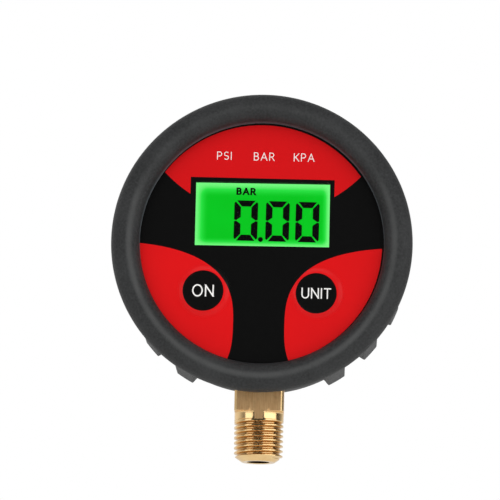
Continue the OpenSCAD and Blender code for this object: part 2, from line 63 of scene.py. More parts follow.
def srgb(code):
    """Linear colour with alpha from an sRGB hex code."""
    value = np.array([int(code[i:i + 2], 16) for i in (1, 3, 5)]) / 255
    return (*np.where(value <= 0.04045, value / 12.92, ((value + 0.055) / 1.055) ** 2.4), 1.0)


def fill(tree, node, inputs):
    """Fills a node's inputs, each given by its place or its name. A socket is linked, a node is linked by
    its first output in use, a hex code becomes a colour, and any other value is set."""
    for key, value in inputs.items():
        named = [socket for socket in node.inputs if socket.enabled and socket.name == key]
        socket = named[0] if named else node.inputs[key]
        if isinstance(value, bpy.types.Node):
            value = next(output for output in value.outputs if output.enabled)
        if isinstance(value, bpy.types.NodeSocket):
            tree.links.new(value, socket)
        else:
            socket.default_value = srgb(value) if isinstance(value, str) else value


def add(tree, kind, inputs=None, **settings):
    """Adds one shader node with its settings, and fills its inputs."""
    node = tree.nodes.new("ShaderNode" + kind)
    for name, value in settings.items():
        setattr(node, name, value)
    fill(tree, node, inputs or {})
    return node


def start_material(name, values):
    """A new material, with the values that are the same all over set on its shader's own sockets."""
    made = bpy.data.materials.new(name)
    made.use_nodes = True
    shader = made.node_tree.nodes["Principled BSDF"]
    fill(made.node_tree, shader, values)
    return made, made.node_tree, shader


def shade(mesh, sharp):
    """Shades a mesh smooth, apart from edges past that angle in degrees."""
    mesh.shade_smooth()
    mesh.set_sharp_from_angle(angle=math.radians(sharp))


def mesh_piece(name, points, quads, materials, sharp=None, face_slots=None):
    """A piece from points in millimetres and quads between them. Points that meet, as at a pole, become
    one. Given a sharp angle, its faces are turned outwards and shaded smooth."""
    mesh = bpy.data.meshes.new(name)
    mesh.from_pydata(points * MM, [], quads)
    for material in materials:
        mesh.materials.append(material)
    if face_slots is not None:
        mesh.polygons.foreach_set("material_index", face_slots.astype(np.int32).ravel())
    shell = bmesh.new()
    shell.from_mesh(mesh)
    bmesh.ops.remove_doubles(shell, verts=shell.verts, dist=1e-7)
    if sharp is not None:
        bmesh.ops.recalc_face_normals(shell, faces=shell.faces)
    shell.to_mesh(mesh)
    shell.free()
    if sharp is not None:
        shade(mesh, sharp)
    piece = bpy.data.objects.new(name, mesh)
    bpy.context.scene.collection.objects.link(piece)
    return piece


def grid_piece(name, points, materials, close_rows=False, close_columns=True, sharp=30, face_slots=None):
    """A piece from a grid of points, rows by columns by 3, with a quad between each four neighbours. A closed
    direction joins its end to its start."""
    rows, columns = points.shape[:2]
    index = np.arange(rows * columns).reshape(rows, columns)
    if close_rows:
        index = np.vstack([index, index[:1]])
    if close_columns:
        index = np.hstack([index, index[:, :1]])
    quads = np.stack([index[:-1, :-1], index[:-1, 1:], index[1:, 1:], index[1:, :-1]], axis=-1)
    return mesh_piece(name, points.reshape(-1, 3), quads.reshape(-1, 4), materials, sharp, face_slots)


# Turned brass, bright from the lathe: fine rings run round the axis, 0.25 mm apart here so that they show,
# with faint stains 2.5 mm across. The thread's roots are browner, from 0.5 mm below the crest.
turned_brass, tree, shader = start_material("turned_brass", {"Metallic": 1.0})
place = add(tree, "TexCoord").outputs["Object"]
rings = add(tree, "Mapping", {"Vector": place, "Scale": (60, 60, 1 / (0.25 * MM))})
lathe = add(tree, "TexNoise", {"Vector": rings, "Scale": 1.0, "Detail": 2.0})
stain = add(tree, "TexNoise", {"Vector": place, "Scale": 1 / (2.5 * MM), "Detail": 4.0})
clean = add(tree, "Mix", {"Factor": stain, "A": "#DDB074", "B": "#F4D9A4"}, data_type="RGBA")
crosswise = add(tree, "Mapping", {"Vector": place, "Scale": (1 / MM, 1 / MM, 0)})
from_axis = add(tree, "VectorMath", {0: crosswise}, operation="LENGTH")
height = add(tree, "SeparateXYZ", {"Vector": place}).outputs["Z"]
crest_r = add(tree, "MapRange", {
    "Value": height, "From Min": lead_start * MM, "From Max": thread_start * MM,
    "To Min": thread_r + (lead_start - thread_start) * crest_fall, "To Max": thread_r})
below = add(tree, "Math", {0: crest_r, 1: from_axis}, operation="SUBTRACT")
stained = add(tree, "MapRange", {"Value": below, "From Min": 0.5, "From Max": thread_depth, "To Max": 0.5})
above_lead = add(tree, "MapRange", {
    "Value": height, "From Min": (lead_start - 0.4) * MM, "From Max": lead_start * MM})
under_neck = add(tree, "Math", {0: height, 1: thread_start * MM}, operation="LESS_THAN")
for share in (above_lead, under_neck):
    stained = add(tree, "Math", {0: stained, 1: share}, operation="MULTIPLY")
tone = add(tree, "Mix", {"Factor": stained, "A": clean, "B": "#8A5826"}, data_type="RGBA")
gloss = add(tree, "MapRange", {"Value": lathe, "To Min": 0.12, "To Max": 0.24})
relief = add(tree, "Bump", {"Height": lathe, "Strength": 0.12, "Distance": 0.02 * MM})
fill(tree, shader, {"Base Color": tone, "Roughness": gloss, "Normal": relief})

# Drawn brass on the flats: duller and a little browner, with fine draw marks along the bar, 0.2 mm wide and
# 4 mm long so that they show, and faint blotches of tarnish 1.5 mm across.
drawn_brass, tree, shader = start_material("drawn_brass", {"Metallic": 1.0})
place = add(tree, "TexCoord").outputs["Object"]
along = add(tree, "Mapping", {"Vector": place, "Scale": (1 / (0.2 * MM), 1 / (0.2 * MM), 1 / (4 * MM))})
draw = add(tree, "TexNoise", {"Vector": along, "Scale": 1.0, "Detail": 4.0, "Roughness": 0.6})
blotch = add(tree, "TexNoise", {"Vector": place, "Scale": 1 / (1.5 * MM), "Detail": 3.0})
marks = add(tree, "MapRange", {"Value": draw, "From Min": 0.3, "From Max": 0.7})
bright = add(tree, "Mix", {"Factor": marks, "A": "#DEAB75", "B": "#F2CC96"}, data_type="RGBA")
tarnish = add(tree, "MapRange", {"Value": blotch, "From Min": 0.5, "From Max": 0.8, "To Max": 0.35})
tone = add(tree, "Mix", {"Factor": tarnish, "A": bright, "B": "#A87E50"}, data_type="RGBA")
gloss = add(tree, "MapRange", {"Value": draw, "To Min": 0.38, "To Max": 0.5})
relief = add(tree, "Bump", {"Height": draw, "Strength": 0.4, "Distance": 0.03 * MM})
fill(tree, shader, {"Base Color": tone, "Roughness": gloss, "Normal": relief})

# Drilled brass in the port: dull and painted dark brown as painted shade in the hole, with the drill's feed
# marks 0.4 mm apart.
shaded_port_brass, tree, shader = start_material("shaded_port_brass", {"Metallic": 1.0, "Roughness": 0.55})
place = add(tree, "TexCoord").outputs["Object"]
feed = add(tree, "Mapping", {"Vector": place, "Scale": (80, 80, 1 / (0.4 * MM))})
marks = add(tree, "TexNoise", {"Vector": feed, "Scale": 1.0})
tone = add(tree, "Mix", {"Factor": marks, "A": "#20150A", "B": "#3C2A16"}, data_type="RGBA")
fill(tree, shader, {"Base Color": tone})


def smooth(value):
    """A smooth step from 0 to 1: three times the square less twice the cube, and level before and after."""
    value = np.clip(value, 0, 1)
    return value * value * (3 - 2 * value)


def bar_radius(angle):
    """Distance from the axis to the drawn bar: to a flat, or to the cylinder its corners are turned to."""
    return np.minimum(square_half / np.maximum(np.abs(np.cos(angle)), np.abs(np.sin(angle))), corner_r)


def thread_radius(angle, z):
    """Radius of the taper thread: the crest falls 1 in 32 from the neck, and a groove winds round it one
    pitch a turn. From the middle of a land to the middle of the groove the profile is a smooth step with a
    short flat at both ends, so crest and root are round. It starts within half a pitch, and the lead cone
    cuts the end."""
    crest = thread_r + (z - thread_start) * crest_fall
    turn = (z / thread_pitch - angle / (2 * np.pi)) % 1
    fall = smooth((np.abs(2 * turn - 1) - thread_land) / (1 - 2 * thread_land))
    begun = np.clip((thread_start - z) / (0.5 * thread_pitch), 0, 1)
    lead = lead_r + (thread_r - lead_r) * (z - stem_end) / (lead_start - stem_end)
    return np.minimum(crest - thread_depth * begun * fall, lead)


flat_turn = math.acos(square_half / corner_r)
strip_turn = math.acos(square_half / neck_r)
side_steps = np.concatenate([np.linspace(-flat_turn, -strip_turn, 12),
                             np.linspace(-strip_turn, strip_turn, 9)[1:-1],
                             np.linspace(strip_turn, flat_turn, 12),
                             np.linspace(flat_turn, np.pi / 2 - flat_turn, 6)[1:-1]])
angles = (np.arange(4)[:, None] * np.pi / 2 + side_steps).ravel()
bar = bar_radius(angles)
thread_z = np.linspace(stem_end, thread_start, 240)
bend = np.pi / 2 * np.linspace(0, 1, 6)
neck_z = np.concatenate([[thread_start + 0.15, -1.2], shoulder_round * (np.sin(bend) - 1)])
neck_rows = neck_r + np.concatenate([[0, 0], shoulder_round * (1 - np.cos(bend))])
square_z = [edge_break, 1.0, 2.5, 5.0, 9.0, 16.0, stem_top - top_bevel]
inner_rows = [(stem_top, bar - top_bevel), (stem_top, pocket_r),
              (pocket_floor, pocket_r), (pocket_floor, port_r)]
rows = [(stem_end + port_bevel, port_r), (stem_end, port_r + port_bevel)]
rows += list(zip(thread_z, np.minimum(thread_radius(angles, thread_z[:, None]), bar)))
rows += [(z, np.minimum(r, bar)) for z, r in zip(neck_z, neck_rows)]
rows += [(0.0, np.maximum(bar - edge_break, np.minimum(bar, neck_r + shoulder_round)))]
rows += [(z, bar) for z in square_z] + inner_rows
row_z = np.array([z for z, _ in rows])
row_r = np.stack([np.broadcast_to(r, angles.shape) for _, r in rows])
stem_points = np.stack([row_r * np.cos(angles), row_r * np.sin(angles),
                        np.broadcast_to(row_z[:, None], row_r.shape)], axis=-1)
# the flats and the strips that run on down the neck keep the drawn skin of the bar
face_z = (row_z + np.roll(row_z, -1)) / 2
face_bar = bar_radius((angles + np.append(angles[1:], angles[0] + 2 * np.pi)) / 2)
on_square = (face_z > 0) & (np.arange(len(rows)) < len(rows) - len(inner_rows) - 1)
on_neck = (face_z > thread_start) & (face_z <= 0)
drawn = on_square[:, None] & (face_bar < corner_r) | on_neck[:, None] & (face_bar < neck_r)
skin = drawn.astype(int)
skin[-1] = 2  # the last row closes the shape along the port
brass_stem = grid_piece("brass_stem_turned", stem_points, [turned_brass, drawn_brass, shaded_port_brass],
                        close_rows=True, sharp=28, face_slots=skin)
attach(brass_stem, "gauge")
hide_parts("brass_stem")


# Pressure sensor
# A ceramic cell on a squeezed rubber ring in the stem's pocket, held by a slotted brass ring. A polyimide
# ribbon takes its signal up to the board. All of it is hidden once the case is shut.


def grain(tree, shader, shades, size, depth, spread):
    """The fine relief of a surface: noise with cells of that size in millimetres lifts it by depth
    millimetres, makes it rougher or smoother by spread, and shifts it between two shades. Gives back the
    colour."""
    place = add(tree, "TexCoord").outputs["Object"]
    noise = add(tree, "TexNoise", {
        "Vector": place, "Scale": 1 / (size * MM), "Detail": 3.0, "Roughness": 0.55})
    relief = add(tree, "Bump", {"Height": noise, "Strength": 0.5, "Distance": depth * MM})
    middle = shader.inputs["Roughness"].default_value
    gloss = add(tree, "MapRange", {"Value": noise, "To Min": middle - spread, "To Max": middle + spread})
    tone = add(tree, "Mix", {"Factor": noise, "A": shades[0], "B": shades[1]}, data_type="RGBA")
    fill(tree, shader, {"Base Color": tone, "Roughness": gloss, "Normal": relief})
    return tone


def grained(name, values, shades, size, depth, spread):
    """A material that has a fine relief and nothing else."""
    made, tree, shader = start_material(name, values)
    grain(tree, shader, shades, size, depth, spread)
    return made


def dress(material, *names):
    """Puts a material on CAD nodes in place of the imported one."""
    for name in names:
        nodes[name].data.materials.clear()
        nodes[name].data.materials.append(material)


# Ground alumina: chalky white, with a fine even tooth from the grinding wheel.
ground_ceramic = grained("ground_ceramic", {"Roughness": 0.55}, ("#E6E2D8", "#F3F1EB"),
                         size=0.3, depth=0.02, spread=0.06)
dress(ground_ceramic, "pressure_sensor")

# Nitrile rubber: black and matt.
nitrile = grained("nitrile", {"Roughness": 0.6}, ("#181819", "#252526"), size=0.4, depth=0.03, spread=0.08)
dress(nitrile, "sensor_seal")
dress(turned_brass, "sensor_retainer")

# Polyimide film: amber, smooth and glossy, with copper lines 1 mm apart showing through.
band_gap = 0.314  # from one band of a wave texture to the next, at a scale of one
polyimide, tree, shader = start_material("polyimide", {"Roughness": 0.25})
place = add(tree, "TexCoord").outputs["Object"]
lines = add(tree, "TexWave", {"Vector": place, "Scale": band_gap / (1.0 * MM)})
tone = add(tree, "Mix", {"Factor": lines.outputs["Fac"], "A": "#B9772A", "B": "#D9A044"}, data_type="RGBA")
fill(tree, shader, {"Base Color": tone})
dress(polyimide, "sensor_ribbon")


# Rear case, battery door and their screws
# A cup moulded in black ABS with a fine spark texture from the mould. Four screws draw it to the front
# panel and two hold the stem's square, all from the back. The door hooks in by two tongues and is held by
# one small screw.

# Moulded ABS: black, with a sparked grain of about 0.35 mm that scatters the light.
sparked_abs = grained("sparked_abs", {"Roughness": 0.52, "IOR": 1.53}, ("#18191A", "#232426"),
                      size=0.35, depth=0.05, spread=0.1)
dress(sparked_abs, "rear_case", "battery_door")

# Zinc-plated steel: pale grey with a faint blue and yellow cast, in soft patches of 0.8 mm.
zinc_steel = grained("zinc_steel", {"Metallic": 1.0, "Roughness": 0.3}, ("#A9AEB6", "#C9C8BE"),
                     size=0.8, depth=0.02, spread=0.1)

dial_z = sum(corner.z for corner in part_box("front_panel")) / 2 / MM
# a screw head's dome and cross recess, in shares of its radius and its height, and the shank's thread rings
dome_fall, arm_half, arm_side, arm_reach, arm_end, arm_depth = 0.42, 0.17, 0.05, 0.6, 0.2, 0.62
rim_h, rim_round, ring_gap, ring_depth, point_h = 0.15, 0.12, 0.9, 0.22, 0.5


def screw_points(place, seat, tip, head_r, head_h, shank_r):
    """A pan-head screw about an axis that points out of the back, its seat and tip given as depths. From
    the middle of the head outwards, its top is a low dome with a cross recess; then come the rim, the flat
    underside, the shank with its thread rings, and the tip. Rows go out and down, columns go round."""
    angle = np.linspace(0, 2 * np.pi, 64, endpoint=False)
    out = np.concatenate([np.linspace(0, 0.62, 14), np.linspace(0.68, 1, 7)])[:, None]
    x, z = out * np.cos(angle), out * np.sin(angle)
    arm = np.clip((arm_half - np.minimum(np.abs(x), np.abs(z))) / arm_side, 0, 1)
    reach = np.clip((arm_reach - out) / arm_end, 0, 1)
    top = head_h * (1 - dome_fall * out ** 2.6 - arm_depth * arm * reach)
    length = seat - tip
    run = np.linspace(rim_h, length - point_h, max(int(length / 0.2), 8))
    rings = shank_r - ring_depth * np.abs(2 * ((run / ring_gap) % 1) - 1)
    side_r = np.concatenate([[head_r, head_r - rim_round, shank_r], rings, [shank_r * 0.55, 0]])[:, None]
    side_y = np.concatenate([[rim_h, 0, 0], -run, [-length, -length]])[:, None]
    px = np.concatenate([head_r * x, side_r * np.cos(angle)])
    pz = np.concatenate([head_r * z, side_r * np.sin(angle)])
    py = np.concatenate([top, np.broadcast_to(side_y, (side_y.size, angle.size))])
    return np.stack([place[0] + px, seat + py, dial_z + place[1] + pz], axis=-1)


def screw_group(node, places, seat, head_r, head_h, shank_r):
    """Like screws as one piece that stands for their CAD node, each at its own place on the back."""
    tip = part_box(node)[0].y / MM
    made = []
    for place in places:
        points = screw_points(place, seat, tip, head_r, head_h, shank_r)
        made.append(grid_piece(f"{node}_pan", points, [zinc_steel], sharp=35))
    if len(made) > 1:
        with bpy.context.temp_override(active_object=made[0], selected_editable_objects=made):
            bpy.ops.object.join()
    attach(made[0], "gauge")
    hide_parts(node)


case_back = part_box("rear_case")[1].y / MM
rear_view_r, head_r, head_h, head_sunk, head_room = 31.5, 2.2, 1.6, 0.3, 0.6
screw_seat = case_back - head_h - head_sunk
case_turn = np.radians([60, 120, 210, 330])
case_places = (rear_view_r - head_r - head_room) * np.c_[np.cos(case_turn), np.sin(case_turn)]
stem_places = [(-4, -28.6), (4, -28.6)]
door_place, door_head_r, door_head_h = (0, -9.8), 1.8, 1.2
screw_group("case_screws", case_places, screw_seat, head_r, head_h, shank_r=1.25)
screw_group("stem_screws", stem_places, screw_seat, head_r, head_h, shank_r=1.2)
screw_group("door_screw", [door_place], case_back - door_head_h, door_head_r, door_head_h, shank_r=0.95)


# Cells and contacts
# Two AAA cells lie side by side in the tray behind the door, in plain lacquered jackets. Nickel-plated spring
# steel plates and coil springs join them in series.

# Lacquered steel jacket: slate blue, smooth, with a soft shine.
cell_jacket = grained("cell_jacket", {"Metallic": 0.6, "Roughness": 0.3}, ("#36506A", "#446180"),
                      size=1.5, depth=0.02, spread=0.05)
dress(cell_jacket, "upper_cell", "lower_cell")

# Nickel plate: warm grey and bright, with a fine grain from the rolls.
nickel = grained("nickel", {"Metallic": 1.0, "Roughness": 0.22}, ("#BDB9B0", "#D4D1CB"),
                 size=0.5, depth=0.01, spread=0.06)
dress(nickel, "bridge_contact", "positive_contact", "negative_contact",
      "upper_cell_spring", "lower_cell_spring")


# Circuit board
# A glass-epoxy board under green solder mask, screwed to the front panel by four small screws. The chip is
# bonded to it under a drop of black resin, and a push switch sits behind each key.

# Solder mask: deep green and glossy, with the glass weave of the board showing through at 0.6 mm.
solder_mask = grained("solder_mask", {"Roughness": 0.3}, ("#0F4726", "#1B6238"),
                      size=0.6, depth=0.02, spread=0.08)
dress(solder_mask, "circuit_board")

# Potting resin: black, cast, smooth and shiny.
cast_resin = grained("cast_resin", {"Roughness": 0.22}, ("#101011", "#1A1A1B"),
                     size=1.2, depth=0.05, spread=0.06)
dress(cast_resin, "controller_chip")

# Moulded nylon of the switches and plungers: dark grey and matt.
moulded_nylon = grained("moulded_nylon", {"Roughness": 0.48}, ("#2C2F33", "#3B3E43"),
                        size=0.4, depth=0.03, spread=0.08)
dress(moulded_nylon, "on_switch_body", "unit_switch_body", "on_switch_stem", "unit_switch_stem",
      "on_key_plunger", "unit_key_plunger")
dress(zinc_steel, "board_screws")


# Display
# A liquid-crystal cell lit green from behind by a guide with an LED at each end, held by a frame and fed
# through a strip of striped silicone. Dark segments show the reading and the unit.

# Natural ABS of the display frame: warm white and matt, so that no light is lost.
natural_abs = grained("natural_abs", {"Roughness": 0.5}, ("#E2DDCC", "#EFECE0"),
                      size=0.5, depth=0.03, spread=0.06)
dress(natural_abs, "display_frame")

# Cast acrylic of the light guide: clear to milky.
guide_acrylic = grained("guide_acrylic", {"Roughness": 0.18, "IOR": 1.49}, ("#E2F0E2", "#F2FAF2"),
                        size=0.8, depth=0.02, spread=0.06)
dress(guide_acrylic, "light_guide")

# LED resin: milky green-white, lit.
led_resin = grained("led_resin", {"Roughness": 0.3, "Emission Strength": 0.6, "Emission Color": "#7CFF84"},
                    ("#CFEFC8", "#E2FADC"), size=0.6, depth=0.01, spread=0.05)
dress(led_resin, "backlight_leds")

# Striped silicone: dark carbon layers between pale ones, 0.4 mm apart.
striped_silicone, tree, shader = start_material("striped_silicone", {"Roughness": 0.6})
place = add(tree, "TexCoord").outputs["Object"]
layers = add(tree, "TexWave", {"Vector": place, "Scale": band_gap / (0.4 * MM)})
tone = add(tree, "Mix", {"Factor": layers.outputs["Fac"], "A": "#2A2C30", "B": "#B9BCC2"}, data_type="RGBA")
fill(tree, shader, {"Base Color": tone})
dress(striped_silicone, "contact_rubber")

# Lit crystal: the back light is even green in the middle and washes out to pale green near the edges, where
# it leaks in round the guide. The pale band is wider at the left and the top than at the other two sides.
window_half, window_low, window_high = 17.8, -0.85, 16.35
lit_crystal, tree, shader = start_material("lit_crystal", {
    "Base Color": "#020A03", "Roughness": 0.2, "Emission Strength": 1.06, "Specular IOR Level": 0.04})
place = add(tree, "TexCoord").outputs["Object"]
dial = add(tree, "Mapping", {"Vector": place, "Scale": (1 / MM, 1 / MM, 1 / MM), "Location": (0, 0, -dial_z)})
axes = add(tree, "SeparateXYZ", {"Vector": dial})
# for each side, where the light is palest and where it is deep
pale_bands = [("X", -window_half - 0.4, -window_half + 3.4), ("X", window_half + 0.1, window_half - 2.3),
              ("Z", window_high + 0.3, window_high - 3.7), ("Z", window_low, window_low + 2.6)]
inner = 1.0
for axis, palest, deepest in pale_bands:
    rise = add(tree, "MapRange", {"Value": axes.outputs[axis], "From Min": palest, "From Max": deepest},
               interpolation_type="SMOOTHSTEP")
    inner = add(tree, "Math", {0: inner, 1: rise}, operation="MULTIPLY")
haze = add(tree, "TexNoise", {"Vector": dial, "Scale": 0.12, "Detail": 1.0})
glow = add(tree, "Mix", {"Factor": haze, "A": "#00C21A", "B": "#00CE22"}, data_type="RGBA")
# pale at the very edge, then a clear bright green, then the deep green of the middle
outer = add(tree, "MapRange", {"Value": inner, "From Max": 0.5})
deep = add(tree, "MapRange", {"Value": inner, "From Min": 0.5})
wash = add(tree, "Mix", {"Factor": outer, "A": "#7DFF88", "B": "#28E444"}, data_type="RGBA")
light = add(tree, "Mix", {"Factor": deep, "A": wash, "B": glow}, data_type="RGBA")
fill(tree, shader, {"Emission Color": light})
dress(lit_crystal, "display_glass")

# Dark crystal of a driven segment: near black with a trace of green, fine mottle of the cell's spacers.
dark_crystal = grained("dark_crystal", {"Roughness": 0.35, "Specular IOR Level": 0.02},
                       ("#000200", "#020502"), size=0.5, depth=0.002, spread=0.05)

# a digit, its three places and the slits between its segments, and how the glass was laid: turned clockwise
digit_w, digit_h, digit_low, post_w, bar_w, bevel = 6.3, 10.85, 0.83, 1.76, 1.62, 0.72
digit_lefts, point_r, point_place = (-7.54, 0.86, 8.78), 0.67, (-0.37, 1.28)
slit_across, slit_up, tip_gap, outer_gap, inner_gap = 0.18, 0.2, 0.06, 0.25, 0.92
display_turn, display_centre = math.radians(0.52), (0, 7.75)
segment_y, segment_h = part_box("display_glass")[0].y / MM - 0.01, 0.02
stroke_lift, stroke_layers = 0.003, 4


def flat_piece(name, strips, y, material, thickness):
    """A thin flat print made of strips, each with its left and its right edge given by points across and up
    the dial. A strip lies a hair before the one that came before it, so that no two share a plane where
    they cross."""
    sizes = np.array([strip.shape[1] for strip in strips])
    flat = np.concatenate([strip.reshape(-1, 2) for strip in strips])
    layer = np.repeat(np.arange(sizes.size) % stroke_layers, 2 * sizes)
    points = np.c_[flat[:, 0], y - stroke_lift * layer, dial_z + flat[:, 1]]
    starts = 2 * (np.cumsum(sizes) - sizes)
    rungs = np.concatenate([start + np.arange(n - 1) for start, n in zip(starts, sizes)])
    other = rungs + np.repeat(sizes, sizes - 1)
    piece = mesh_piece(name, points, np.stack([rungs, other, other + 1, rungs + 1], axis=1), [material])
    solid = piece.modifiers.new("ink", "SOLIDIFY")
    solid.thickness, solid.offset = thickness * MM, 1.0
    return piece


def nought(left):
    """The six driven segments of a nought: a bar along the top and a post down each side, with bevelled
    corners and a clear slit between them, the posts pointed near half height, and the same turned over
    below."""
    w, h, t = digit_w, digit_h, post_w
    inset = t + slit_across
    bar = np.array([[(bevel, h), (w - bevel, h)], [(inset, h - bar_w), (w - inset, h - bar_w)]])
    tip, corner = (0.3 * t, h / 2 + tip_gap), (0.5 * bevel, h - 0.5 * bevel)
    post = np.array([[tip, (0, h / 2 + outer_gap), (0, h - bevel), corner],
                     [tip, (t, h / 2 + inner_gap), (t, h - bar_w - slit_up), corner]])
    upper = [bar, post, post[::-1] * (-1, 1) + (w, 0)]
    lower = [strip[::-1] * (1, -1) + (0, h) for strip in upper]
    return [strip + (left, digit_low) for strip in upper + lower]


def turned(strips, angle, centre):
    """Strips turned clockwise by that angle about a point of the dial."""
    cos, sin = math.cos(angle), math.sin(angle)
    return [(strip - centre) @ np.array([[cos, -sin], [sin, cos]]) + centre for strip in strips]


half_turn = np.pi * np.linspace(0, 1, 13)
point_top = point_r * np.c_[-np.cos(half_turn), np.sin(half_turn)]
decimal_point = np.stack([point_top, point_top * (1, -1)]) + point_place
segments = [strip for left in digit_lefts for strip in nought(left)] + [decimal_point]
reading = flat_piece("display_reading", turned(segments, display_turn, display_centre), segment_y,
                     dark_crystal, segment_h)
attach(reading, "gauge")


def bowl(left, right, low, high):
    """A letter's bowl: out along the top, round a half circle and back along the bottom."""
    mid, half = (low + high) / 2, (high - low) / 2
    around = np.c_[right - half + half * np.sin(half_turn), mid + half * np.cos(half_turn)]
    return np.vstack([(left, high), around, (left, low)])


whole_turn = 2 * np.pi * np.linspace(0, 1, 41)
curl = np.radians(np.linspace(40, 270, 15))
ess = np.c_[0.29 + 0.27 * np.cos(curl), 0.745 + 0.255 * np.sin(curl)]
post = np.array([(0, 0), (0, 1.0)])
cup = np.c_[0.34 - 0.34 * np.cos(half_turn), 0.32 - 0.34 * np.sin(half_turn)]
# for a height of one: each letter's width, its plain lines, and its slanted lines, whose ends are cut level
letters = {
    "O": (0.87, [np.c_[0.435 + 0.435 * np.cos(whole_turn), 0.5 + 0.52 * np.sin(whole_turn)]], []),
    "N": (0.7, [post, post + (0.7, 0)], [[(0, 1.0), (0.7, 0)]]),
    "U": (0.68, [np.vstack([(0, 1.0), cup, (0.68, 1.0)])], []),
    "I": (0.0, [post], []),
    "T": (0.62, [[(0, 1.0), (0.62, 1.0)], post + (0.31, 0)], []),
    "B": (0.56, [post, bowl(0, 0.5, 0.53, 1.0), bowl(0, 0.56, 0, 0.53)], []),
    "A": (0.78, [[(0.2, 0.33), (0.58, 0.33)]], [[(0, 0), (0.39, 1.0)], [(0.39, 1.0), (0.78, 0)]]),
    "R": (0.6, [post, bowl(0, 0.54, 0.47, 1.0)], [[(0.28, 0.47), (0.6, 0)]]),
    "P": (0.55, [post, bowl(0, 0.55, 0.44, 1.0)], []),
    "S": (0.58, [np.vstack([ess, (0.58, 1.0) - ess[::-1]])], []),
    "K": (0.6, [post], [[(0, 0.34), (0.58, 1.0)], [(0.18, 0.55), (0.6, 0)]]),
}


def plain_stroke(line, width):
    """A stroke's two edges, half a width to each side of its line and mitred at its corners. An open line
    is half a width longer at each end, a closed one joins up."""
    step = np.diff(line, axis=0)
    step /= np.linalg.norm(step, axis=1)[:, None]
    closed = np.allclose(line[0], line[-1])
    before = np.vstack([step[-1:] if closed else step[:1], step])
    after = np.vstack([step, step[:1] if closed else step[-1:]])
    mean = before + after
    mean /= np.linalg.norm(mean, axis=1)[:, None]
    side = np.c_[-mean[:, 1], mean[:, 0]] * width / 2 / np.sum(mean * before, axis=1)[:, None]
    ends = np.zeros_like(line)
    if not closed:
        ends[0] = -step[0] * width / 2
        ends[-1] = step[-1] * width / 2
    return np.stack([line + ends + side, line + ends - side])


def slanted_stroke(line, width):
    """A slanted stroke's two edges, level beside its line and cut level half a width past both its ends."""
    step = np.diff(line, axis=0)[0]
    step /= np.linalg.norm(step)
    side = np.array([-width / 2 / step[1], 0.0])
    longer = line + np.outer([-1, 1], step / abs(step[1])) * width / 2
    return np.stack([longer + side, longer - side])


def word(text, centre, height, width, gap):
    """A word's strokes, with its capitals that high over all, set about a centre on the dial."""
    scale = height - width
    widths = np.array([letters[c][0] * scale + width for c in text])
    starts = np.cumsum(widths + gap) - widths - gap - (widths.sum() + gap * (len(text) - 1)) / 2
    strips = []
    for c, start in zip(text, starts):
        corner = np.array([centre[0] + start + width / 2, centre[1] - scale / 2])
        strips += [plain_stroke(np.array(line) * scale + corner, width) for line in letters[c][1]]
        strips += [slanted_stroke(np.array(line) * scale + corner, width) for line in letters[c][2]]
    return strips


unit_place, unit_spread = (-4.52, 14.14), (1.1, 1)
unit_word = [strip * unit_spread + unit_place
             for strip in word("BAR", (0, 0), height=2.0, width=0.44, gap=0.2)]
unit_mark = flat_piece("display_unit", turned(unit_word, display_turn, display_centre), segment_y,
                       dark_crystal, segment_h)
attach(unit_mark, "gauge")


# Front panel and window pane
# The panel is moulded in black ABS and plugs into the case; it carries the film, the pane, the display and
# the board. The pane is cut from clear acrylic sheet and dropped into a ledge behind the film.

dress(sparked_abs, "front_panel")

# Clear acrylic: colourless and polished, with a very slight ripple of 4 mm.
clear_acrylic, tree, shader = start_material("clear_acrylic", {
    "Base Color": "#FBFEFB", "Roughness": 0.02, "IOR": 1.49, "Specular IOR Level": 0.06,
    "Transmission Weight": 1.0})
place = add(tree, "TexCoord").outputs["Object"]
ripple = add(tree, "TexNoise", {"Vector": place, "Scale": 1 / (4 * MM)})
relief = add(tree, "Bump", {"Height": ripple, "Strength": 0.05, "Distance": 0.01 * MM})
fill(tree, shader, {"Normal": relief})
dress(clear_acrylic, "display_window")


# Face film and keys
# A polyester sheet, screen-printed on its back in red and black and glued into the panel's recess. Two
# round pads are embossed in it over the switches, and their words are printed in white.

key_low, key_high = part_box("unit_key")
key_x, key_z = (key_low.x + key_high.x) / 2 / MM, (key_low.z + key_high.z) / 2 / MM - dial_z
key_disc, key_r, key_rise, pad_foot, pad_slope = 5.41, 7.085, 0.4, 7.0, 1.8
word_sink, word_h = 0.005, 0.012
film_front, film_back = (-corner.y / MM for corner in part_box("face_film"))
top_field_z, top_field_r = 43.3, 35.9
low_field_x, low_field_z, low_field_half, low_field_rise, low_field_power = 44.34, -22.0, 37.57, 21.65, 2.757
frame_half, frame_top = 19.1, 17.45
border_r, border_shade_drop = 32.05, 0.18
# the sheet was laid a little askew: turned clockwise, low and to the left
print_turn, print_drop, print_left = math.radians(0.42), 0.08, 0.22

# Printed polyester: satin, with a fine leather-like grain of 0.5 mm. The red fields are set out on the dial
# in millimetres: a round one at the top and two rounded ones below, on black, with black discs on the keys.
printed_polyester, tree, shader = start_material("printed_polyester", {
    "Roughness": 0.42, "IOR": 1.5, "Specular IOR Level": 0.1})
black_ink = grain(tree, shader, ("#050505", "#090909"), size=0.5, depth=0.012, spread=0.06)
place = add(tree, "TexCoord").outputs["Object"]
print_z = dial_z - print_drop
flat = add(tree, "Mapping", {
    "Vector": place, "Scale": (1 / MM, 0, 1 / MM), "Rotation": (0, -print_turn, 0),
    "Location": (print_left + print_z * math.sin(print_turn), 0, -print_z * math.cos(print_turn))})
axes = add(tree, "SeparateXYZ", {"Vector": flat})
across = add(tree, "Math", {0: axes.outputs["X"]}, operation="ABSOLUTE")
height = axes.outputs["Z"]
